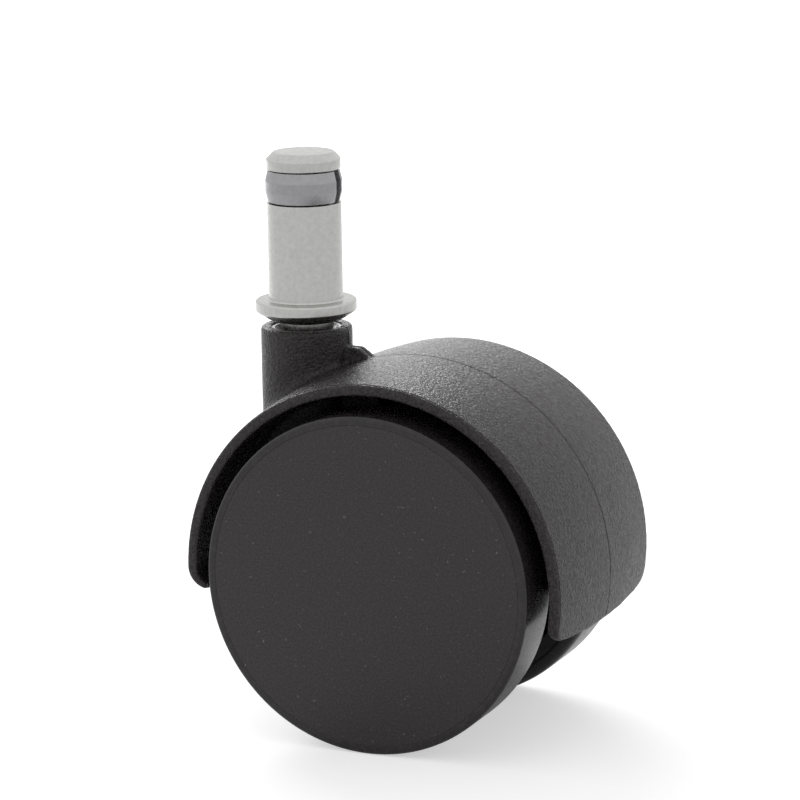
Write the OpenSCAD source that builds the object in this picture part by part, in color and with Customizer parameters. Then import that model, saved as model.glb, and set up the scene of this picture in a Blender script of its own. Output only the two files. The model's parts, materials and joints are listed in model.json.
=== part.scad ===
// Twin-wheel hooded chair caster on a grip-ring stem.
//
// The origin is on the stem's axis, at the top face of the flange, where the chair leg sits.
// +Z points up into the leg. The wheels trail towards +X and turn about an axle along Y.
// The left side is -Y and the right side is +Y.

/* [Stem] */
// Diameter of the plug that goes up into the chair leg
stem_d = 11; // [9:0.5:12]
// Length of the plug above the flange
stem_len = 22; // [18:0.5:40]
// Bevel at the top of the plug
stem_bevel = 1; // [0.4:0.1:1.5]
// Diameter of the flange under the leg
flange_d = 15; // [14.5:0.5:19]
// Diameter of the flange's narrow foot
flange_foot_d = 10.4; // [9.5:0.1:12]
// Height of the flange, with its dished underside
flange_h = 3; // [2.6:0.1:4]
// Radius of the dished underside of the flange
flange_dish_r = 12; // [11:0.5:16]
// Diameter of the journal that turns inside the socket
journal_d = 8; // [7:0.5:8.5]
// Depth from the flange's top face to the lower end of the stem
stem_depth = 27.2; // [25:0.1:32]
// Bevel at the lower end of the stem
journal_bevel = 0.6; // [0.2:0.1:1]

/* [Grip ring] */
// Height of the grip ring's groove on the plug
grip_groove_h = 5; // [4:0.5:7]
// Depth of the grip ring's groove
grip_groove_depth = 0.9; // [0.8:0.1:1.2]
// Distance from the top of the plug down to the groove
grip_from_top = 2.5; // [2:0.5:6]
// How far the relaxed ring stands proud of the plug
grip_proud = 0.2; // [0.05:0.05:0.25]
// Height of the ring's widest band
grip_band_h = 1.6; // [0.5:0.1:3]
// Width of the ring's slit
grip_slit = 1.6; // [0.5:0.1:3]

/* [Stem bearing] */
// How far the bush sits below the socket's mouth
bush_sink = 0.3; // [0.2:0.1:3]
// Bevel at the mouth of the bush
bush_bevel = 0.7; // [0.3:0.1:0.9]
// Thickness of the split ring that stops the stem from pulling out
stem_ring_t = 1; // [0.6:0.1:1.5]
// Distance from the stem's lower end up to that ring
stem_ring_lift = 2.4; // [1.2:0.1:4]
// Depth of that ring's groove in the journal
stem_ring_groove = 0.8; // [0.4:0.1:1.2]
// Thickness of the thrust pad under the stem
pad_t = 1; // [0.6:0.1:2]

/* [Socket] */
// Outer diameter of the upright socket
socket_d = 13.6; // [13.2:0.1:18]
// Diameter of the socket's bore, which the bush fills
socket_bore_d = 10.4; // [10.2:0.1:11.8]
// Clear height between the socket's mouth and the flange
mouth_gap = 0.9; // [0.3:0.1:2]
// Thickness of the socket's floor
socket_floor_t = 2.2; // [1.5:0.1:4]
// Rounding of the socket's mouth
mouth_round = 0.5; // [0.2:0.1:0.6]

/* [Wheels] */
// Diameter of each wheel over its tread
wheel_d = 50; // [46:1:54]
// Width of each wheel
wheel_w = 10.2; // [9.5:0.1:13]
// Clear width between the two wheels
wheel_space = 20.4; // [19:0.1:26]
// Thickness of the tread band
tyre_t = 2; // [1.6:0.1:3]
// Rounding of the tread's edges
tyre_round = 0.6; // [0.2:0.1:0.8]
// Width of the tread's side edge that shows round the cap
tyre_edge = 1.2; // [0.9:0.1:1.5]
// Width of the groove between that edge and the cap
cap_groove = 0.1; // [0.05:0.05:0.3]
// Thickness of the rim under the tread
rim_t = 2; // [1.5:0.1:3]
// Thickness of the wheel's disc behind the cap
disc_t = 2; // [1.5:0.1:3]
// Outer diameter of the hub
hub_d = 13; // [11:0.5:14]
// Number of ribs between hub and rim
rib_count = 8; // [4:1:16]
// Thickness of each rib
rib_t = 1.4; // [1:0.1:2.5]
// How far the ribs stay back from the rim's inner edge
rib_back = 1.2; // [0.5:0.1:3]

/* [Caps] */
// Thickness of the cap's disc
cap_t = 1.2; // [1:0.1:1.6]
// Rounding of the cap's edge
cap_round = 0.3; // [0.1:0.1:0.5]
// Diameter of the pocket in the wheel's disc, where the axle ends
pocket_d = 16; // [15:0.5:18]
// Depth of that pocket behind the cap
pocket_depth = 2.8; // [2.5:0.1:4]
// Wall round the pocket
pocket_wall = 1.5; // [1.2:0.1:2.5]
// Thickness of the cap's collar that plugs into the pocket
collar_t = 0.9; // [0.6:0.1:1.2]
// Length of that collar
collar_len = 1.6; // [1:0.1:2.4]

/* [Axle] */
// Height of the flange's top face above the axle
axle_drop = 37.4; // [37:0.1:40]
// Distance the axle trails behind the stem
trail = 17.7; // [17:0.1:20]
// Diameter of the axle
axle_d = 6; // [5:0.5:6.5]
// Bevel at the ends of the axle
axle_bevel = 0.4; // [0.1:0.1:0.6]
// Length of the axle beyond each clip
axle_tail = 0.9; // [0.6:0.1:1]
// Thickness of each axle clip
clip_t = 0.8; // [0.5:0.1:0.8]
// Outer diameter of each axle clip
clip_d = 11; // [10:0.5:11.5]
// Depth of the clip's groove in the axle
clip_groove = 0.5; // [0.3:0.1:0.8]
// Width of the clip's open mouth
clip_mouth = 4; // [3:0.1:4.4]
// Width of the two reliefs that leave the clip its three gripping points
clip_relief = 2.5; // [1.5:0.1:3]
// Clear height of those reliefs above the axle
clip_relief_h = 0.6; // [0.3:0.1:1]
// Outer diameter of each thrust washer
washer_d = 12; // [9:0.5:13]
// Thickness of each thrust washer
washer_t = 0.5; // [0.3:0.1:1]

/* [Hood] */
// How far each lip of the hood stays back from the wheel's outer face
lip_inset = 1.8; // [0.5:0.1:4]
// Clear gap between the tread and the inside of the hood
hood_gap = 2.6; // [1.5:0.1:5]
// Wall thickness of the hood at its lips
lip_t = 1.6; // [1.2:0.1:2.5]
// Rounding of the lips' outer corners
lip_round = 0.4; // [0.2:0.1:0.6]
// How much the hood's middle stands out past its lips
crown = 0.9; // [0.3:0.1:1.5]
// How far the hood's end beside the stem reaches below the axle, round its lower corner
front_drop = 3.3; // [2.6:0.1:5]
// Wall thickness at the bottom of that corner
corner_t = 1; // [0.8:0.1:1.6]
// Clear gap between the tread and the returned edge of that end
return_gap = 1.4; // [0.4:0.1:2]
// How far the hood's trailing end reaches below the axle at its middle
back_drop = 7; // [6:0.1:10]
// How much the trailing end rises from its middle to its sides
back_rise = 1.1; // [0.5:0.1:3]
// Rounding of the trailing end's corners
back_round = 3; // [1.5:0.1:5]
// Thickness of the web between the wheels
web_t = 4; // [2.5:0.1:6]
// Diameter of the boss that holds the axle
boss_d = 16; // [13:0.5:18]
// Width of the boss
boss_w = 16; // [14:0.5:17]
// Number of stiffening ribs on the web
web_rib_count = 3; // [1:1:3]
// Angle between those ribs
web_rib_step = 40; // [25:1:40]
// Thickness of the stiffening ribs on the web
web_rib_t = 1.6; // [1:0.1:2.5]
// Width over the stiffening ribs on both sides of the web
web_rib_w = 13; // [8:0.5:15]
// Thickness of the fin between the socket and the hood
fin_t = 2.2; // [1.5:0.1:4]
// Distance from the stem's axis to the end of the fin's level top
fin_reach = 8.8; // [8:0.1:9.5]
// How far that top stands above the hood's middle
fin_rise = 1.9; // [1.5:0.1:3]
// Slope of the fin's end
fin_slope = 38; // [30:1:60]
// Rounding between the fin's top and its end
fin_r = 1.2; // [0.8:0.1:2]

/* [Fits] */
// Running clearance between a shaft and its bore, measured on the radius
run_gap = 0.05; // [0.03:0.01:0.08]
// Clearance of a seated or pressed piece, measured on the radius
seat_gap = 0.02; // [0.01:0.01:0.04]
// Side clearance between parts that turn past each other
side_gap = 0.3; // [0.2:0.05:0.3]
// Clearance under the lower end of the stem
pad_gap = 0.1; // [0.05:0.05:0.3]

/* [Hidden] */
$fn = 96;

// Overlap that makes one moulding of shapes that meet
weld = 0.5;
// Extra length of a cutting shape past the surface it cuts
past = 1;
// Turn of the socket's round bodies that keeps their seams off the hood's middle ridge
seam_turn = 45;

stem_r = stem_d / 2;
journal_r = journal_d / 2;
flange_r = flange_d / 2;
bore_r = socket_bore_d / 2;
axle_r = axle_d / 2;

// Grip ring groove on the plug, measured up from the flange
grip_top = stem_len - grip_from_top;
grip_bottom = grip_top - grip_groove_h;
grip_core_r = stem_r - grip_groove_depth;

// Heights inside the socket, measured up from the flange
socket_top = -flange_h - mouth_gap;
bush_top = socket_top - bush_sink;
stem_ring_bottom = stem_ring_lift - stem_depth;
stem_ring_top = stem_ring_bottom + stem_ring_t;
stem_ring_core_r = journal_r - stem_ring_groove;
bush_bottom = stem_ring_top + side_gap;
pad_top = -stem_depth - pad_gap;
bore_bottom = pad_top - pad_t;
socket_bottom = bore_bottom - socket_floor_t;

// Wheel radii
wheel_r = wheel_d / 2;
core_r = wheel_r - tyre_t;
cap_r = wheel_r - tyre_edge - cap_groove;
rim_in_r = core_r - rim_t;
hub_r = hub_d / 2;
pocket_r = pocket_d / 2;
cup_r = pocket_r + pocket_wall;

// Distances along the axle from the middle, the same on both sides
wheel_in = wheel_space / 2;
wheel_out = wheel_in + wheel_w;
cap_in = wheel_out - cap_t;
disc_in = cap_in - disc_t;
pocket_in = cap_in - pocket_depth;
boss_out = boss_w / 2;
washer_out = boss_out + washer_t;
hub_in = washer_out + side_gap;
clip_in = pocket_in + side_gap;
clip_out = clip_in + clip_t;
axle_end = clip_out + axle_tail;
clip_core_r = axle_r - clip_groove;
// Turn of each clip relief from the middle of the mouth
clip_relief_turn = 115;

// Hood radii about the axle
hood_in_r = wheel_r + hood_gap;
lip_r = hood_in_r + lip_t;
crown_r = lip_r + crown;
lip_out = wheel_out - lip_inset;
hood_w = 2 * lip_out;
return_r = wheel_r + return_gap;

// Middle of the rounded lower corner beside the stem, level with the axle
corner_x = front_drop - lip_r;
// How far the trailing end's outline runs past the lips, so that its corners cut them cleanly
outline_spare = 0.03;

// Puts its children at the middle of the axle
module at_axle() {
    translate([trail, 0, -axle_drop]) children();
}

// Turns a shape about Z into one about the axle, with its top towards the right
module along_axle() {
    at_axle() rotate([-90, 0, 0]) children();
}

// Keeps the right side as drawn and mirrors it for the left side
module on_side(right) {
    if (right) children();
    else mirror([0, 1, 0]) children();
}

// Tube about Z, from height z0 to z1
module tube(r_out, r_in, z0, z1) {
    translate([0, 0, z0]) difference() {
        cylinder(h = z1 - z0, r = r_out);
        translate([0, 0, -past]) cylinder(h = z1 - z0 + 2 * past, r = r_in);
    }
}

// Shaft about Z with a bevel at its top, from height z0 to z1
module bevelled_rod(r, z0, z1, bevel) {
    translate([0, 0, z0]) cylinder(h = z1 - z0 - bevel, r = r);
    translate([0, 0, z1 - bevel]) cylinder(h = bevel, r1 = r, r2 = r - bevel);
}

// Cuts a slit through the +X side of a ring
module slit(width, reach, z0, z1) {
    translate([0, -width / 2, z0 - past]) cube([reach, width, z1 - z0 + 2 * past]);
}

// Plug, flange with a dished underside, and journal, turned from one bar
module stem() {
    color("silver") difference() {
        union() {
            bevelled_rod(stem_r, -weld, stem_len, stem_bevel);
            flange();
            mirror([0, 0, 1]) bevelled_rod(journal_r, flange_h / 2, stem_depth, journal_bevel);
        }
        tube(stem_r + past, grip_core_r, grip_bottom, grip_top);
        tube(journal_r + past, stem_ring_core_r,
            stem_ring_bottom - seat_gap, stem_ring_top + seat_gap);
    }
}

// Round flange whose underside is part of a ball
module flange() {
    ball_z = sqrt(pow(flange_dish_r, 2) - pow(flange_foot_d / 2, 2)) - flange_h;
    intersection() {
        translate([0, 0, -flange_h]) cylinder(h = flange_h, r = flange_r);
        translate([0, 0, ball_z]) sphere(r = flange_dish_r);
    }
}

// Split spring ring, thickest at mid height, that grips the socket in the leg
module grip_ring() {
    mid = (grip_bottom + grip_top) / 2;
    half = (grip_top - grip_bottom) / 2 - side_gap / 2;
    color("gainsboro") difference() {
        rotate_extrude() polygon([
            [grip_core_r + run_gap, mid - half],
            [stem_r - grip_proud, mid - half],
            [stem_r + grip_proud, mid - grip_band_h / 2],
            [stem_r + grip_proud, mid + grip_band_h / 2],
            [stem_r - grip_proud, mid + half],
            [grip_core_r + run_gap, mid + half]
        ]);
        slit(grip_slit, stem_d, grip_bottom, grip_top);
    }
}

// Split ring below the bush that keeps the stem in the socket
module stem_ring() {
    color("dimgray") difference() {
        tube(bore_r - side_gap, stem_ring_core_r + seat_gap,
            stem_ring_bottom, stem_ring_top);
        slit(journal_r, socket_d, stem_ring_bottom, stem_ring_top);
    }
}

// Sleeve in the socket that the journal turns in
module stem_bush() {
    bush_in_r = journal_r + run_gap;
    bush_out_r = bore_r - seat_gap;
    color("black") rotate_extrude() polygon([
        [bush_in_r, bush_bottom], [bush_out_r, bush_bottom], [bush_out_r, bush_top],
        [bush_in_r + bush_bevel, bush_top], [bush_in_r, bush_top - bush_bevel]
    ]);
}

// Hard disc on the socket's floor that carries the end of the stem
module stem_pad() {
    color("darkgray") translate([0, 0, bore_bottom])
        cylinder(h = pad_t, r = bore_r - seat_gap);
}

// Round body about Z that is widest at its middle, with rounded outer edges
module barrel(r_side, r_middle, half_w, edge) {
    rotate_extrude() {
        polygon([
            [0, -half_w], [r_side - edge, -half_w], [r_side, edge - half_w],
            [r_middle, 0],
            [r_side, half_w - edge], [r_side - edge, half_w], [0, half_w]
        ]);
        for (side = [-1, 1])
            translate([r_side - edge, side * (half_w - edge)]) circle(r = edge);
    }
}

// Outline of the hood's trailing end, seen along X: straight sides, rounded corners
// and a bottom that hangs lowest in the middle
module trailing_outline() {
    half_w = lip_out + outline_spare;
    bow_r = (pow(half_w, 2) + pow(back_rise, 2)) / (2 * back_rise);
    bow_z = bow_r - back_drop;
    corner_y = half_w - back_round;
    round_z = bow_z - sqrt(pow(bow_r - back_round, 2) - pow(corner_y, 2));
    touch_y = corner_y * bow_r / (bow_r - back_round);
    translate([-half_w, round_z]) square([2 * half_w, crown_r - round_z + past]);
    intersection() {
        translate([0, bow_z]) circle(r = bow_r, $fn = 360);
        translate([-touch_y, -back_drop - past]) square([2 * touch_y, back_drop + past]);
    }
    for (side = [-1, 1]) translate([side * corner_y, round_z]) circle(r = back_round);
}

// Solid arch over the wheels before it is hollowed, about the axle
module hood_arch() {
    intersection() {
        rotate([-90, 0, 0]) barrel(lip_r, crown_r, lip_out, lip_round);
        union() {
            translate([-crown_r - past, -lip_out - past, 0])
                cube([crown_r + past, hood_w + 2 * past, crown_r + past]);
            rotate([90, 0, 90]) linear_extrude(height = crown_r + past) trailing_outline();
        }
    }
}

// Rounded lower corner of the arch beside the stem, turned in towards the wheels
module hood_corner() {
    translate([corner_x, 0, 0]) difference() {
        rotate([-90, 0, 0]) barrel(front_drop, front_drop + crown, lip_out, lip_round);
        translate([-hood_w, -hood_w, 0]) cube(2 * hood_w);
        translate([0, -hood_w, -hood_w]) cube(2 * hood_w);
    }
    rotate([90, 0, 90]) translate([0, 0, corner_x])
        linear_extrude(height = -corner_x) polygon([
            [-lip_out, 0], [-lip_out, lip_round - front_drop],
            [lip_round - lip_out, -front_drop], [0, -front_drop - crown],
            [lip_out - lip_round, -front_drop], [lip_out, lip_round - front_drop],
            [lip_out, 0]
        ]);
}

// Space inside the hood that the wheels turn in, about the axle
module hood_hollow() {
    reach = hood_w + 2 * past;
    corner_r = front_drop - lip_t;
    corner_z = corner_t - lip_t;
    rotate([90, 0, 0]) linear_extrude(height = reach, center = true) {
        difference() {
            circle(r = hood_in_r, $fn = 180);
            translate([-hood_in_r - past, -hood_in_r])
                square([hood_in_r + past, hood_in_r]);
        }
        circle(r = return_r, $fn = 180);
        translate([corner_x, corner_z]) circle(r = corner_r);
        translate([corner_x - corner_r, corner_z]) square([corner_r, -corner_z]);
        translate([corner_x, corner_z - corner_r]) square([-corner_x, corner_r - corner_z]);
    }
}

// Web between the wheels, with the boss for the axle and stiffening ribs, about the axle
module hood_web() {
    web_r = hood_in_r + weld;
    rotate([90, 0, 0]) linear_extrude(height = web_t, center = true) intersection() {
        circle(r = web_r, $fn = 180);
        translate([-web_r, -front_drop]) square([2 * web_r, 2 * web_r]);
    }
    rotate([90, 0, 0]) cylinder(h = boss_w, d = boss_d, center = true);
    for (rib = [0:web_rib_count - 1]) rotate([0, -(rib + 0.5) * web_rib_step, 0])
        translate([axle_r + weld, -web_rib_w / 2, -web_rib_t / 2])
            cube([web_r - axle_r - weld, web_rib_w, web_rib_t]);
}

// Upright socket, closed at the bottom and rounded at its mouth
module socket_body() {
    socket_r = socket_d / 2;
    translate([0, 0, socket_bottom])
        cylinder(h = socket_top - mouth_round - socket_bottom, r = socket_r);
    rotate_extrude() {
        translate([0, socket_top - mouth_round - weld])
            square([socket_r - mouth_round, mouth_round + weld]);
        translate([socket_r - mouth_round, socket_top - mouth_round]) circle(r = mouth_round);
    }
}

// Height of the hood's middle above or below the flange, at a distance from the stem's axis
function hood_top(x) = sqrt(pow(crown_r, 2) - pow(trail - x, 2)) - axle_drop;

// Fin that ties the socket to the top of the hood
module fin() {
    top = hood_top(fin_reach) + fin_rise;
    foot = hood_top(socket_d / 2) - weld;
    slope_run = (top - foot) / tan(fin_slope);
    round_in = fin_r * tan(fin_slope / 2);
    rotate([90, 0, 0]) linear_extrude(height = fin_t, center = true) {
        translate([fin_reach - round_in, top - fin_r]) circle(r = fin_r);
        polygon([
            [bore_r, foot], [bore_r, top], [fin_reach - round_in, top],
            [fin_reach + round_in * cos(fin_slope), top - round_in * sin(fin_slope)],
            [fin_reach + slope_run, foot]
        ]);
    }
}

// Housing: hood, web, boss, socket and fin in one moulding
module hood() {
    color("#3c3c3c") difference() {
        union() {
            at_axle() difference() {
                union() {
                    hood_arch();
                    hood_corner();
                }
                hood_hollow();
            }
            at_axle() hood_web();
            rotate([0, 0, seam_turn]) socket_body();
            fin();
        }
        rotate([0, 0, seam_turn]) translate([0, 0, bore_bottom])
            cylinder(h = socket_top - bore_bottom + past, r = bore_r);
        along_axle() cylinder(h = boss_w + 2 * past, r = axle_r + seat_gap, center = true);
    }
}

// Steel pin with a clip groove near each end
module axle() {
    color("silver") along_axle() difference() {
        for (turn = [0, 180]) rotate([turn, 0, 0]) bevelled_rod(axle_r, -weld, axle_end, axle_bevel);
        for (turn = [0, 180]) rotate([turn, 0, 0])
            tube(axle_r + past, clip_core_r, clip_in - seat_gap, clip_out + seat_gap);
    }
}

// Clip that snaps on from the side: a split ring that grips the groove at three points
module axle_clip() {
    difference() {
        translate([0, 0, clip_in]) cylinder(h = clip_t, d = clip_d);
        translate([0, 0, clip_in - past])
            cylinder(h = clip_t + 2 * past, r = clip_core_r + seat_gap);
        slit(clip_mouth, clip_d, clip_in, clip_out);
        for (turn = [-1, 1]) rotate([0, 0, turn * clip_relief_turn])
            slit(clip_relief, axle_r + clip_relief_h, clip_in, clip_out);
    }
}

module axle_clips() {
    color("lightgray") {
        along_axle() axle_clip();
        along_axle() mirror([0, 0, 1]) axle_clip();
    }
}

// Thrust washer between the boss and a wheel's hub
module washer(right) {
    color("whitesmoke") on_side(right) along_axle()
        tube(washer_d / 2, axle_r + run_gap, boss_out, washer_out);
}

// Wheel body: rim, disc, hub and ribs, with a pocket for the end of the axle
module wheel(right) {
    color("#2e2e2e") on_side(right) along_axle() difference() {
        union() {
            tube(core_r - seat_gap, rim_in_r, wheel_in, cap_in);
            translate([0, 0, disc_in]) cylinder(h = disc_t, r = rim_in_r + weld);
            translate([0, 0, hub_in]) cylinder(h = cap_in - hub_in, r = hub_r);
            translate([0, 0, pocket_in - disc_t]) cylinder(h = cap_in - pocket_in + disc_t, r = cup_r);
            for (rib = [0:rib_count - 1]) rotate([0, 0, rib * 360 / rib_count])
                translate([axle_r + weld, -rib_t / 2, wheel_in + rib_back])
                    cube([rim_in_r - axle_r, rib_t, disc_in - wheel_in - rib_back + weld]);
        }
        translate([0, 0, hub_in - past]) cylinder(h = cap_in, r = axle_r + run_gap);
        translate([0, 0, pocket_in]) cylinder(h = pocket_depth + past, r = pocket_r);
    }
}

// Tread band, with a step in its outer side that the cap's edge sits in
module tyre(right) {
    color("#262626") on_side(right) along_axle() rotate_extrude() {
        difference() {
            union() {
                translate([core_r, wheel_in]) square([tyre_t - tyre_round, wheel_w]);
                translate([core_r, wheel_in + tyre_round]) square([tyre_t, wheel_w - 2 * tyre_round]);
            }
            translate([core_r - past, cap_in]) square([past + tyre_t - tyre_edge, cap_t + past]);
        }
        for (y = [wheel_in + tyre_round, wheel_out - tyre_round])
            translate([wheel_r - tyre_round, y]) circle(r = tyre_round);
    }
}

// Flat outer disc with a collar that plugs into the wheel's pocket
module cap(right) {
    collar_r = pocket_r - seat_gap;
    color("#3a3a3a") on_side(right) along_axle() {
        rotate_extrude() {
            translate([0, cap_in]) square([cap_r, cap_t - cap_round]);
            translate([0, cap_in]) square([cap_r - cap_round, cap_t]);
            translate([cap_r - cap_round, wheel_out - cap_round]) circle(r = cap_round);
        }
        tube(collar_r, collar_r - collar_t, cap_in - collar_len, cap_in + cap_t / 2);
    }
}

stem();
grip_ring();
stem_ring();
stem_bush();
stem_pad();
hood();
axle();
axle_clips();
washer(false);  // washer_left
washer(true);  // washer_right
wheel(false);  // wheel_left
wheel(true);  // wheel_right
tyre(false);  // tyre_left
tyre(true);  // tyre_right
cap(false);  // cap_left
cap(true);  // cap_right
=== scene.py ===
"""Looks of the twin-wheel chair caster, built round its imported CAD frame. Lengths are in metres."""
import json
import math

import bmesh
import bpy
from mathutils import Matrix, Vector


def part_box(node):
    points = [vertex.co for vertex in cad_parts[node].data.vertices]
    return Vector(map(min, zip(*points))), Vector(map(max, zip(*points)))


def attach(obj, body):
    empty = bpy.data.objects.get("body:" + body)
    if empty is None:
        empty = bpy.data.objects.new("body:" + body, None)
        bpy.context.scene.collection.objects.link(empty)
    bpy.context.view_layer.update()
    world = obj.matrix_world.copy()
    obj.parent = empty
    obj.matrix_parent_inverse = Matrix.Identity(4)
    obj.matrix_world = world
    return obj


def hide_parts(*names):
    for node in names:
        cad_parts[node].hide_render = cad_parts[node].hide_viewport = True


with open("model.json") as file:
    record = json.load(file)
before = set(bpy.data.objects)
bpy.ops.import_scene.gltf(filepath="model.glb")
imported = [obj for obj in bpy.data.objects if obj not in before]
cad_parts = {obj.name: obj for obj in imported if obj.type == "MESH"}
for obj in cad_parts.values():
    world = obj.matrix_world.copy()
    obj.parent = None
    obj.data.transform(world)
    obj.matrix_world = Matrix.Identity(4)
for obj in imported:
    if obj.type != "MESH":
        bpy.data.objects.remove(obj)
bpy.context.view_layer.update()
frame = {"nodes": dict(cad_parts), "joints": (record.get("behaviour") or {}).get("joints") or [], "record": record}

MM = 0.001
SEGMENTS = 192  # facets round a turned piece
ARC_STEPS = 6  # facets round a small rounded corner

JOINTS = {joint["name"]: joint for joint in frame["joints"]}
AXLE = Vector(JOINTS["left_wheel_spin"]["pos_m"])
MOUNTS = {mount["name"]: mount for mount in frame["record"]["mounts"]}
FLOOR_Z = min(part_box("tyre_left")[0].z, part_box("tyre_right")[0].z)

# Sizes inside a node, which its box doesn't give
PLUG_BEVEL = 1.0 * MM
GRIP_CORE_R = 4.6 * MM
GRIP_BAND = 1.6 * MM
GRIP_PROUD = 0.2 * MM
GRIP_SLIT = 1.6 * MM
RING_PLAY = 0.15 * MM
FLANGE_H = 3.0 * MM
FLANGE_FOOT_R = 5.2 * MM
BOWL_R = 12.0 * MM
JOURNAL_R = 4.0 * MM
JOURNAL_BEVEL = 0.6 * MM
STEM_RING_CORE_R = 3.2 * MM
SOCKET_R = 6.8 * MM
CROWN = 0.9 * MM  # how much higher the middle of the hood is than its lips
CROWN_REACH = 1.2 * MM
FIN_T = 2.2 * MM
FILLET_REACH = 3.6 * MM
LIP_END_REACH = 1.6 * MM
LIP_T = 1.6 * MM
LIP_END_DROP = 5.9 * MM  # from the axle down to the trailing end of each lip
LIP_LINE_IN = 0.62 * MM
LIP_LINE_W = 0.30 * MM
LIP_LINE_DEPTH = 0.09 * MM
LIP_LINE_BELOW = 1.3 * MM  # only what lies higher than this below the crown is scored
PARTING_W = 0.50 * MM
PARTING_DEPTH = 0.36 * MM
PARTING_BELOW = 0.6 * MM
COLLAR_R = 7.98 * MM
COLLAR_T = 0.9 * MM
TREAD_EDGE = 0.6 * MM
TREAD_INNER_EDGE = 1.6 * MM
CAP_EDGE = 0.05 * MM
CAP_GROOVE = 0.015 * MM

# How finely the hood is meshed, and how often each corner is smoothed
HOOD_VOXEL = 0.22 * MM
HOOD_ROUNDS = 8
JUNCTION_ROUNDS = 300
LIP_END_ROUNDS = 80
HOOD_TRIANGLES = 170000

FLOOR_REACH = 6.0  # half the floor's side, in metres
FLOOR_LIGHT = 0.85  # the floor's colour in the light it throws on the caster
FLOOR_SEEN = 0.70  # its colour in view, which the glow lifts to white
FLOOR_LIFT = 0.51
FLOOR_MIRRORED = 0.2  # how much of that lift its reflections show
WORLD_LIGHT = 0.70  # the surroundings' strength in the light they throw

# The photograph's view: turns in degrees, and the camera's place from the middle of the axle
CAMERA_TURN = 23.617
CAMERA_LIFT = 12.323
CAMERA_ROLL = -0.873
CAMERA_AWAY = 534.026 * MM
CAMERA_LEFT = 2.56 * MM
CAMERA_UP = 22.80 * MM
CAMERA_LENS = 162.05


# ---------------------------------------------------------------- meshes

def add_object(name, mesh):
    piece = bpy.data.objects.new(name, mesh)
    bpy.context.scene.collection.objects.link(piece)
    return piece


def smooth_shade(piece, sharp_angle=35):
    """Shades smooth, but keeps edges sharper than the angle crisp."""
    piece.data.polygons.foreach_set("use_smooth", [True] * len(piece.data.polygons))
    piece.data.set_sharp_from_angle(angle=math.radians(sharp_angle))
    return piece


def spread(first, last, count):
    """That many even steps from first to last, with both ends."""
    return [first + (last - first) * i / count for i in range(count + 1)]


def rounded(corners):
    """Turns corners (radius, height, rounding) of an outline into points with round corners."""
    points = []
    count = len(corners)
    for i, (x, y, r) in enumerate(corners):
        here = Vector((x, y))
        if r == 0:
            points.append(here)
            continue
        before = (Vector(corners[i - 1][:2]) - here).normalized()
        after = (Vector(corners[(i + 1) % count][:2]) - here).normalized()
        half = before.angle(after) / 2
        centre = here + (before + after).normalized() * r / math.sin(half)
        start = here + before * r / math.tan(half) - centre
        turn = start.angle_signed(here + after * r / math.tan(half) - centre)
        for step in range(ARC_STEPS + 1):
            angle = -turn * step / ARC_STEPS
            points.append(centre + Matrix.Rotation(angle, 2) @ start)
    return points


def turned(name, outline, first=0.0, sweep=math.tau):
    """Turns a closed outline of (radius, height) points about Z. A part turn gets end faces."""
    mesh = bmesh.new()
    whole = sweep >= math.tau
    rings = []
    for i in range(SEGMENTS if whole else SEGMENTS + 1):
        angle = first + sweep * i / SEGMENTS
        spoke = Vector((math.cos(angle), math.sin(angle), 0))
        rings.append([mesh.verts.new(spoke * p[0] + Vector((0, 0, p[1]))) for p in outline])
    count = len(outline)
    for i in range(SEGMENTS):
        a, b = rings[i], rings[(i + 1) % len(rings)]
        for k in range(count):
            n = (k + 1) % count
            mesh.faces.new((a[k], b[k], b[n], a[n]))
    if not whole:
        mesh.faces.new(rings[0])
        mesh.faces.new(list(reversed(rings[-1])))
    bmesh.ops.remove_doubles(mesh, verts=mesh.verts, dist=1e-7)
    bmesh.ops.dissolve_degenerate(mesh, edges=mesh.edges, dist=1e-8)
    bmesh.ops.recalc_face_normals(mesh, faces=mesh.faces)
    data = bpy.data.meshes.new(name)
    mesh.to_mesh(data)
    mesh.free()
    return smooth_shade(add_object(name, data))


def on_axle(piece, side):
    """Lays a piece turned about Z along the axle, with its top towards the right or the left."""
    to_axle = Matrix.Translation(AXLE) @ Matrix.Scale(side, 4, (0, 1, 0))
    piece.data.transform(to_axle @ Matrix.Rotation(-math.pi / 2, 4, "X"))
    if side < 0:
        piece.data.flip_normals()
    return piece


def add_modifier(piece, kind, **settings):
    modifier = piece.modifiers.new(kind.lower(), kind)
    for key, value in settings.items():
        setattr(modifier, key, value)


def settle(piece):
    """Applies the piece's modifiers to its mesh."""
    bpy.context.view_layer.update()
    shown = piece.evaluated_get(bpy.context.evaluated_depsgraph_get())
    piece.data = bpy.data.meshes.new_from_object(shown)
    piece.modifiers.clear()


def softened(node, name, voxel, rounds):
    """Copies a CAD node's solid with every edge and inner corner slightly rounded."""
    mesh = bmesh.new()
    mesh.from_mesh(frame["nodes"][node].data)
    bmesh.ops.remove_doubles(mesh, verts=mesh.verts, dist=1e-6)
    data = bpy.data.meshes.new(name)
    mesh.to_mesh(data)
    mesh.free()
    piece = add_object(name, data)
    add_modifier(piece, "REMESH", mode="VOXEL", voxel_size=voxel)
    add_modifier(piece, "SMOOTH", factor=0.5, iterations=rounds)
    settle(piece)
    return piece


def eased(piece, weight_at, rounds):
    """Smooths a corner's mesh locally, most where weight_at(point) is 1."""
    group = piece.vertex_groups.new(name="corner")
    for vertex in piece.data.vertices:
        weight = weight_at(vertex.co)
        if weight > 0:
            group.add([vertex.index], weight, "REPLACE")
    add_modifier(piece, "SMOOTH", factor=0.5, iterations=rounds, vertex_group="corner")
    settle(piece)
    piece.vertex_groups.clear()


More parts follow.
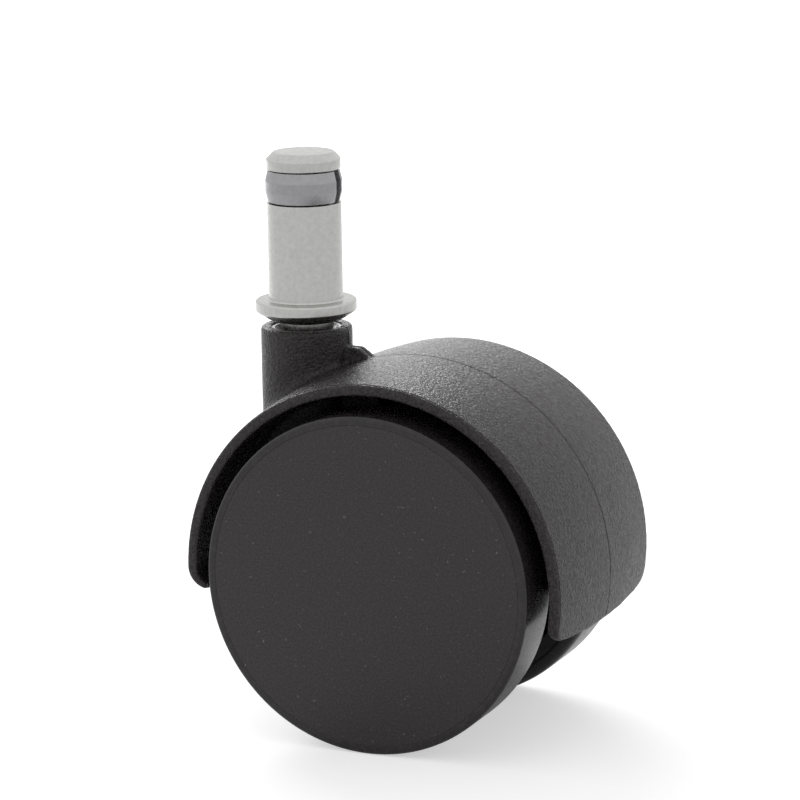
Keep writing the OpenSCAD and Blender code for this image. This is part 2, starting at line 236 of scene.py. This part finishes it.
def thinned(piece, triangles):
    """Cuts the mesh down to about that many triangles."""
    add_modifier(piece, "DECIMATE", ratio=min(1.0, triangles / (2 * len(piece.data.polygons))))
    settle(piece)


def crowned(piece, crown_r, half_w):
    """Swells an arch that slopes straight from its middle to its lips into an even curve."""
    for vertex in piece.data.vertices:
        arm = Vector((vertex.co.x - AXLE.x, 0, vertex.co.z - AXLE.z))
        share = min(1, abs(vertex.co.y) / half_w)
        off_arch = abs(arm.length - crown_r + CROWN * share)
        weight = max(0, 1 - off_arch / CROWN_REACH)
        vertex.co += arm.normalized() * weight * CROWN * (share - share ** 2)


def scored(piece, places, width, depth, least_r):
    """Presses fine lines round the axle into the outer surface, at these places along Y."""
    mesh = bmesh.new()
    mesh.from_mesh(piece.data)
    for place in places:
        for edge in (place - width / 2, place, place + width / 2):
            everything = mesh.verts[:] + mesh.edges[:] + mesh.faces[:]
            bmesh.ops.bisect_plane(mesh, geom=everything, dist=1e-7, plane_co=(0, edge, 0),
                                   plane_no=(0, 1, 0))
        for vertex in mesh.verts:
            arm = Vector((vertex.co.x - AXLE.x, 0, vertex.co.z - AXLE.z))
            if abs(vertex.co.y - place) < 1e-6 and arm.length > least_r:
                vertex.co -= arm.normalized() * depth
    mesh.to_mesh(piece.data)
    mesh.free()


# ---------------------------------------------------------------- materials

class Shader:
    """A material's node tree, with short calls for the nodes that the finishes use."""

    def __init__(self, name):
        self.material = bpy.data.materials.new(name)
        self.material.use_nodes = True
        self.nodes = self.material.node_tree.nodes
        self.links = self.material.node_tree.links
        self.surface = self.nodes["Principled BSDF"]
        self.place = self.nodes.new("ShaderNodeTexCoord").outputs["Object"]

    def node(self, kind, **sockets):
        made = self.nodes.new(kind)
        for key, value in sockets.items():
            self.feed(made.inputs[key.replace("_", " ")], value)
        return made

    def feed(self, socket, value):
        if isinstance(value, bpy.types.NodeSocket):
            self.links.new(value, socket)
        else:
            socket.default_value = value

    def noise(self, size, detail=2.0, rough=0.5):
        """Noise whose blobs are about that many metres across."""
        made = self.node("ShaderNodeTexNoise", Vector=self.place, Scale=1 / size,
                         Detail=detail, Roughness=rough)
        return made.outputs["Fac"]

    def ramp(self, value, low, high, start=0.0, end=1.0):
        """Maps low..high to start..end, and holds the ends."""
        made = self.nodes.new("ShaderNodeMapRange")
        for key, number in (("From Min", low), ("From Max", high), ("To Min", start), ("To Max", end)):
            made.inputs[key].default_value = number
        self.feed(made.inputs["Value"], value)
        return made.outputs["Result"]

    def math(self, operation, a, b=0.0):
        made = self.nodes.new("ShaderNodeMath")
        made.operation = operation
        self.feed(made.inputs[0], a)
        self.feed(made.inputs[1], b)
        return made.outputs[0]

    def mix(self, share, a, b):
        """Blends colour a into colour b."""
        made = self.nodes.new("ShaderNodeMix")
        made.data_type = "RGBA"
        self.feed(made.inputs["Factor"], share)
        self.feed(made.inputs["A"], (*a, 1) if isinstance(a, tuple) else a)
        self.feed(made.inputs["B"], (*b, 1) if isinstance(b, tuple) else b)
        return made.outputs["Result"]

    def bump(self, height, depth):
        """A bump whose height runs from 0 to 1 over that many metres."""
        made = self.nodes.new("ShaderNodeBump")
        made.inputs["Distance"].default_value = depth
        self.feed(made.inputs["Height"], height)
        return made.outputs["Normal"]

    def axis(self, letter):
        made = self.node("ShaderNodeSeparateXYZ", Vector=self.place)
        return made.outputs[letter]

    def finish(self, colour, roughness, normal=None, **fixed):
        self.feed(self.surface.inputs["Base Color"], colour)
        self.feed(self.surface.inputs["Roughness"], roughness)
        if normal is not None:
            self.links.new(normal, self.surface.inputs["Normal"])
        for key, value in fixed.items():
            self.surface.inputs[key.replace("_", " ")].default_value = value
        return self.material


DUST = (0.15, 0.145, 0.145)  # the colour of the faint specks on the caps
SPECK = 0.45 * MM
DUST_PATCH = 3.0 * MM
TURNING_PITCH = 0.12 * MM


def grained_nylon(name, dark, light, grain, depth, roughness, level=0.5, dust=0.0):
    """Moulded nylon with a spark-eroded grain: fine hills and pits, whose paler tops are partly the grain's own
    tone and partly painted glints.
    """
    s = Shader(name)
    hills = s.noise(grain, detail=2.0, rough=0.7)
    swell = s.noise(3 * grain, detail=1.0)
    height = s.math("ADD", hills, s.math("MULTIPLY", swell, 0.25))
    # Paler hill tops: partly the grain's own tone, partly painted glints of the grain catching the light.
    tops_tone_and_painted_glints = s.ramp(hills, 0.40, 0.66)
    colour = s.mix(tops_tone_and_painted_glints, dark, light)
    if dust > 0:
        specks = s.ramp(s.noise(SPECK, detail=1.0), 0.70, 0.80, 0.0, dust)
        patches = s.ramp(s.noise(DUST_PATCH, detail=4.0, rough=0.65), 0.35, 0.65)
        colour = s.mix(s.math("MULTIPLY", specks, patches), colour, DUST)
    rough = s.ramp(s.noise(2 * grain), 0.3, 0.7, roughness + 0.07, roughness - 0.07)
    return s.finish(colour, rough, s.bump(height, depth), Specular_IOR_Level=level)


def tread_skin(name, dark, light):
    """Smooth satin tread with faint rolling scuffs."""
    s = Shader(name)
    scuff = s.noise(0.9 * MM, detail=4.0, rough=0.65)
    rough = s.ramp(scuff, 0.35, 0.7, 0.20, 0.32)
    colour = s.mix(s.ramp(scuff, 0.45, 0.7), dark, light)
    return s.finish(colour, rough, s.bump(scuff, 0.012 * MM), Specular_IOR_Level=0.40)


def turned_steel(name, colour, roughness, axis="Z"):
    """Bright plated steel with the fine rings that turning leaves."""
    s = Shader(name)
    rings = s.math("SINE", s.math("MULTIPLY", s.axis(axis), math.tau / TURNING_PITCH))
    wobble = s.noise(0.8 * MM, detail=3.0)
    height = s.math("ADD", s.math("MULTIPLY", rings, 0.3), wobble)
    stain = s.ramp(s.noise(0.7 * MM, detail=4.0), 0.35, 0.7)
    tone = s.mix(stain, colour, tuple(0.90 * c for c in colour))
    rough = s.ramp(wobble, 0.3, 0.7, roughness - 0.05, roughness + 0.08)
    return s.finish(tone, rough, s.bump(height, 0.004 * MM), Metallic=1.0)


MATERIALS = {
    "hood_nylon": grained_nylon("hood_nylon", (0.0165, 0.0137, 0.0147), (0.0452, 0.0400, 0.0418),
                                0.42 * MM, 0.36 * MM, 0.27, level=0.255),
    "cap_nylon": grained_nylon("cap_nylon", (0.0228, 0.0195, 0.0207), (0.0428, 0.0382, 0.0397),
                               0.30 * MM, 0.03 * MM, 0.40, level=0.36, dust=0.9),
    "wheel_nylon": grained_nylon("wheel_nylon", (0.008, 0.008, 0.008), (0.02, 0.02, 0.02),
                                 0.30 * MM, 0.03 * MM, 0.42),
    "bush_acetal": grained_nylon("bush_acetal", (0.006, 0.006, 0.006), (0.015, 0.015, 0.015),
                                 0.30 * MM, 0.02 * MM, 0.35),
    "washer_nylon": grained_nylon("washer_nylon", (0.52, 0.51, 0.47), (0.62, 0.61, 0.57),
                                  0.30 * MM, 0.01 * MM, 0.40),
    "tread_polyurethane": tread_skin("tread_polyurethane", (0.0175, 0.0150, 0.0158),
                                     (0.0285, 0.0248, 0.0260)),
    "plated_steel": turned_steel("plated_steel", (0.53, 0.53, 0.515), 0.27),
    "spring_steel": turned_steel("spring_steel", (0.34, 0.34, 0.35), 0.28),
    "hardened_steel": turned_steel("hardened_steel", (0.36, 0.36, 0.38), 0.25),
    "axle_steel": turned_steel("axle_steel", (0.56, 0.56, 0.56), 0.25, axis="Y"),
}


def dress(piece, slot, body, node):
    """Gives a piece its finish and body, and lets it stand for its CAD node."""
    piece.data.materials.clear()
    piece.data.materials.append(MATERIALS[slot])
    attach(piece, body)
    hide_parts(node)
    return piece


def dress_cad_nodes():
    """Gives every CAD node that stays in view the finish of its slot."""
    for part in frame["record"]["subparts"]:
        node = frame["nodes"][part["node"]]
        node.data.materials.clear()
        node.data.materials.append(MATERIALS[part["material_slot"]])


# ---------------------------------------------------------------- pieces

def radius_of(node):
    low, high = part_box(node)
    return (high.z - low.z) / 2


def span_on_axle(node):
    """How far a right-hand node reaches along the axle, from the middle: near end, far end."""
    low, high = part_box(node)
    return low.y, high.y


def make_wheel(side, word):
    """Tread band and cap of one wheel; its ribbed body stays as the CAD has it."""
    tyre_in, tyre_out = span_on_axle("tyre_right")
    wheel_r = radius_of("tyre_right")
    core_r = radius_of("wheel_right")
    cap_r = radius_of("cap_right")
    cap_in = span_on_axle("wheel_right")[1]
    tyre = turned("tread_" + word, rounded([
        (core_r, tyre_in, 0.2 * MM),
        (wheel_r, tyre_in, TREAD_INNER_EDGE),
        (wheel_r, tyre_out, TREAD_EDGE),
        (cap_r + CAP_GROOVE, tyre_out, CAP_EDGE),
        (cap_r + CAP_GROOVE, cap_in, 0),
        (core_r, cap_in, 0),
    ]))
    dress(on_axle(tyre, side), "tread_polyurethane", word + "_wheel", "tyre_" + word)
    cap_near = span_on_axle("cap_right")[0]
    cap = turned("disc_" + word, rounded([
        (0, tyre_out, 0),
        (cap_r, tyre_out, CAP_EDGE),
        (cap_r, cap_in, 0),
        (COLLAR_R, cap_in, 0),
        (COLLAR_R, cap_near, 0.1 * MM),
        (COLLAR_R - COLLAR_T, cap_near, 0.1 * MM),
        (COLLAR_R - COLLAR_T, cap_in, 0),
        (0, cap_in, 0),
    ]))
    dress(on_axle(cap, side), "cap_nylon", word + "_wheel", "cap_" + word)


def make_hood():
    """Moulded hood, web and socket: soft edges, a wide fillet under the socket, fine mould lines."""
    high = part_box("hood")[1]
    crown_r = high.x - AXLE.x
    inner_r = crown_r - CROWN - LIP_T
    trailing_z = AXLE.z - LIP_END_DROP
    hood = softened("hood", "housing_hood", HOOD_VOXEL, HOOD_ROUNDS)

    def near_junction(point):
        to_socket = abs(math.hypot(point.x, point.y) - SOCKET_R)
        to_arch = abs(math.hypot(point.x - AXLE.x, point.z - AXLE.z) - crown_r + CROWN / 2)
        on_fin = point.x > SOCKET_R - 0.5 * MM and abs(point.y) < FIN_T
        return 0 if on_fin else max(0, 1 - max(to_socket, to_arch) / FILLET_REACH)

    def near_lip_end(point):
        from_axle = math.hypot(point.x - AXLE.x, point.z - AXLE.z)
        if point.x < AXLE.x or point.z > AXLE.z or from_axle > inner_r + LIP_END_REACH / 2:
            return 0
        return max(0, min(1, (trailing_z + LIP_END_REACH - point.z) / LIP_END_REACH))

    eased(hood, near_junction, JUNCTION_ROUNDS)
    eased(hood, near_lip_end, LIP_END_ROUNDS)
    thinned(hood, HOOD_TRIANGLES)
    crowned(hood, crown_r, high.y)
    lip_line = high.y - LIP_LINE_IN
    scored(hood, [0], PARTING_W, PARTING_DEPTH, crown_r - PARTING_BELOW)
    scored(hood, [-lip_line, lip_line], LIP_LINE_W, LIP_LINE_DEPTH, crown_r - LIP_LINE_BELOW)
    smooth_shade(hood, sharp_angle=80)
    dress(hood, "hood_nylon", "housing", "hood")


def make_stem():
    """Stem turned from one bar: bevelled plug, grip groove, flange with a bowl below, journal."""
    low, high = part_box("stem")
    plug_r = MOUNTS["stem"]["dims"]["r_mm"] * MM
    groove_low, groove_high = (corner.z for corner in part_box("grip_ring"))
    ring_low, ring_high = (corner.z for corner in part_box("stem_ring"))
    flange_r = high.x
    bowl_z = math.sqrt(BOWL_R ** 2 - FLANGE_FOOT_R ** 2) - FLANGE_H
    bowl = [Vector((BOWL_R * math.sin(a), bowl_z - BOWL_R * math.cos(a)))
            for a in spread(math.asin(flange_r / BOWL_R), math.asin(FLANGE_FOOT_R / BOWL_R), 14)]
    outline = rounded([
        (0, high.z, 0),
        (plug_r - PLUG_BEVEL, high.z, 0.25 * MM),
        (plug_r, high.z - PLUG_BEVEL, 0.4 * MM),
        (plug_r, groove_high + RING_PLAY, 0.1 * MM),
        (GRIP_CORE_R, groove_high + RING_PLAY, 0.15 * MM),
        (GRIP_CORE_R, groove_low - RING_PLAY, 0.15 * MM),
        (plug_r, groove_low - RING_PLAY, 0.1 * MM),
        (plug_r, 0, 0.3 * MM),
        (flange_r, 0, 0.35 * MM),
        (*bowl[0], 0.25 * MM),
        *((*point, 0) for point in bowl[1:-1]),
        (*bowl[-1], 0.3 * MM),
        (JOURNAL_R, -FLANGE_H, 0.3 * MM),
        (JOURNAL_R, ring_high, 0),
        (STEM_RING_CORE_R, ring_high, 0),
        (STEM_RING_CORE_R, ring_low, 0),
        (JOURNAL_R, ring_low, 0),
        (JOURNAL_R, low.z + JOURNAL_BEVEL, 0),
        (JOURNAL_R - JOURNAL_BEVEL, low.z, 0),
        (0, low.z, 0),
    ])
    return dress(turned("stem_bar", outline), "plated_steel", "stem", "stem")


def make_grip_ring():
    """Split spring ring that bulges a little past the plug."""
    low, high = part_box("grip_ring")
    middle = (low.z + high.z) / 2
    half = (high.z - low.z) / 2
    belly_r = high.y
    edge_r = belly_r - 2 * GRIP_PROUD
    core_r = GRIP_CORE_R + 0.05 * MM
    outline = rounded([
        (core_r, middle - half, 0.1 * MM),
        (edge_r, middle - half, 0.15 * MM),
        (belly_r, middle - GRIP_BAND / 2, 1.0 * MM),
        (belly_r, middle + GRIP_BAND / 2, 1.0 * MM),
        (edge_r, middle + half, 0.15 * MM),
        (core_r, middle + half, 0.1 * MM),
    ])
    half_slit = math.asin(GRIP_SLIT / 2 / belly_r)
    ring = turned("spring_grip", outline, first=half_slit, sweep=math.tau - 2 * half_slit)
    return dress(ring, "spring_steel", "stem", "grip_ring")


# ---------------------------------------------------------------- stage

def seen_directly(nodes, links, mirrored=1.0):
    """1 for rays from the camera and for refracted ones, a given share for mirrored ones, else 0."""
    path = nodes.new("ShaderNodeLightPath")
    total = path.outputs["Is Camera Ray"]
    for kind, share in (("Is Glossy Ray", mirrored), ("Is Transmission Ray", 1.0)):
        part = nodes.new("ShaderNodeMath")
        part.operation = "MULTIPLY"
        part.inputs[1].default_value = share
        links.new(path.outputs[kind], part.inputs[0])
        larger = nodes.new("ShaderNodeMath")
        larger.operation = "MAXIMUM"
        links.new(total, larger.inputs[0])
        links.new(part.outputs[0], larger.inputs[1])
        total = larger.outputs[0]
    return total


def clear_from_below(s):
    """Lets a view from under the floor through to the caster."""
    under = s.nodes.new("ShaderNodeNewGeometry").outputs["Backfacing"]
    clear = s.nodes.new("ShaderNodeBsdfTransparent").outputs["BSDF"]
    blend = s.node("ShaderNodeMixShader", Fac=under)
    s.links.new(s.surface.outputs["BSDF"], blend.inputs[1])
    s.links.new(clear, blend.inputs[2])
    s.links.new(blend.outputs["Shader"], s.nodes["Material Output"].inputs["Surface"])


def make_floor():
    """White sheet: what is seen of it is lifted to white, and it keeps the soft shadow."""
    data = bpy.data.meshes.new("floor")
    signs = ((-1, -1), (1, -1), (1, 1), (-1, 1))
    corners = [(x * FLOOR_REACH, y * FLOOR_REACH, FLOOR_Z) for x, y in signs]
    data.from_pydata(corners, [], [(0, 1, 2, 3)])
    floor = add_object("floor", data)
    s = Shader("floor_white")
    seen = seen_directly(s.nodes, s.links, FLOOR_MIRRORED)
    colour = s.mix(seen, (FLOOR_LIGHT,) * 3, (FLOOR_SEEN,) * 3)
    s.finish(colour, 0.9, Specular_IOR_Level=0.0, Emission_Color=(1, 1, 1, 1))
    lift = s.math("MULTIPLY", seen, FLOOR_LIFT)
    s.links.new(lift, s.surface.inputs["Emission Strength"])
    clear_from_below(s)
    floor.data.materials.append(s.material)


def make_world(level):
    """Even white surroundings: full white to the camera and in reflections, softer as light."""
    world = bpy.data.worlds.new("studio")
    bpy.context.scene.world = world
    world.use_nodes = True
    nodes, links = world.node_tree.nodes, world.node_tree.links
    strength = nodes.new("ShaderNodeMapRange")
    strength.inputs["To Min"].default_value = level
    strength.inputs["To Max"].default_value = 1.0
    links.new(seen_directly(nodes, links), strength.inputs["Value"])
    links.new(strength.outputs["Result"], nodes["Background"].inputs["Strength"])
    nodes["Background"].inputs["Color"].default_value = (1, 1, 1, 1)


def make_lamp(name, azimuth, elevation, distance, size, power):
    """A square soft box that faces the middle of the caster."""
    data = bpy.data.lights.new(name, "AREA")
    data.shape = "SQUARE"
    data.size = size
    data.energy = power
    lamp = bpy.data.objects.new(name, data)
    bpy.context.scene.collection.objects.link(lamp)
    a, e = math.radians(azimuth), math.radians(elevation)
    away = Vector((math.sin(a) * math.cos(e), -math.cos(a) * math.cos(e), math.sin(e)))
    lamp.location = AXLE + away * distance
    lamp.rotation_euler = away.to_track_quat("Z", "Y").to_euler()
    return lamp


def spare(lamp, pieces):
    """Keeps the lamp off these pieces, as the chair leg round them does."""
    spared = bpy.data.collections.new("spared")
    for piece in pieces:
        spared.objects.link(piece)
    for entry in spared.collection_objects:
        entry.light_linking.link_state = "EXCLUDE"
    lamp.light_linking.receiver_collection = spared


def make_camera():
    """Looks at the caster from its front right, a little above, with a long lens."""
    turn, lift, roll = (math.radians(a) for a in (CAMERA_TURN, CAMERA_LIFT, CAMERA_ROLL))
    away = Vector((math.sin(turn) * math.cos(lift), -math.cos(turn) * math.cos(lift), math.sin(lift)))
    right = Vector((math.cos(turn), math.sin(turn), 0))
    up = right.cross(-away)
    data = bpy.data.cameras.new("camera")
    data.sensor_width = 36
    data.lens = CAMERA_LENS
    data.clip_start = 0.01
    camera = bpy.data.objects.new("camera", data)
    bpy.context.scene.collection.objects.link(camera)
    spot = AXLE + away * CAMERA_AWAY - right * CAMERA_LEFT + up * CAMERA_UP
    level = Matrix((right, up, away)).transposed().to_4x4()
    camera.matrix_world = Matrix.Translation(spot) @ level @ Matrix.Rotation(roll, 4, "Z")
    bpy.context.scene.camera = camera


make_camera()
make_floor()
make_world(WORLD_LIGHT)
back_box = make_lamp("back_box", azimuth=220, elevation=32, distance=0.9, size=0.6, power=5.8)
bpy.context.scene.view_settings.view_transform = "Standard"

dress_cad_nodes()
spare(back_box, [make_stem(), make_grip_ring()])
make_hood()
make_wheel(1, "right")
make_wheel(-1, "left")
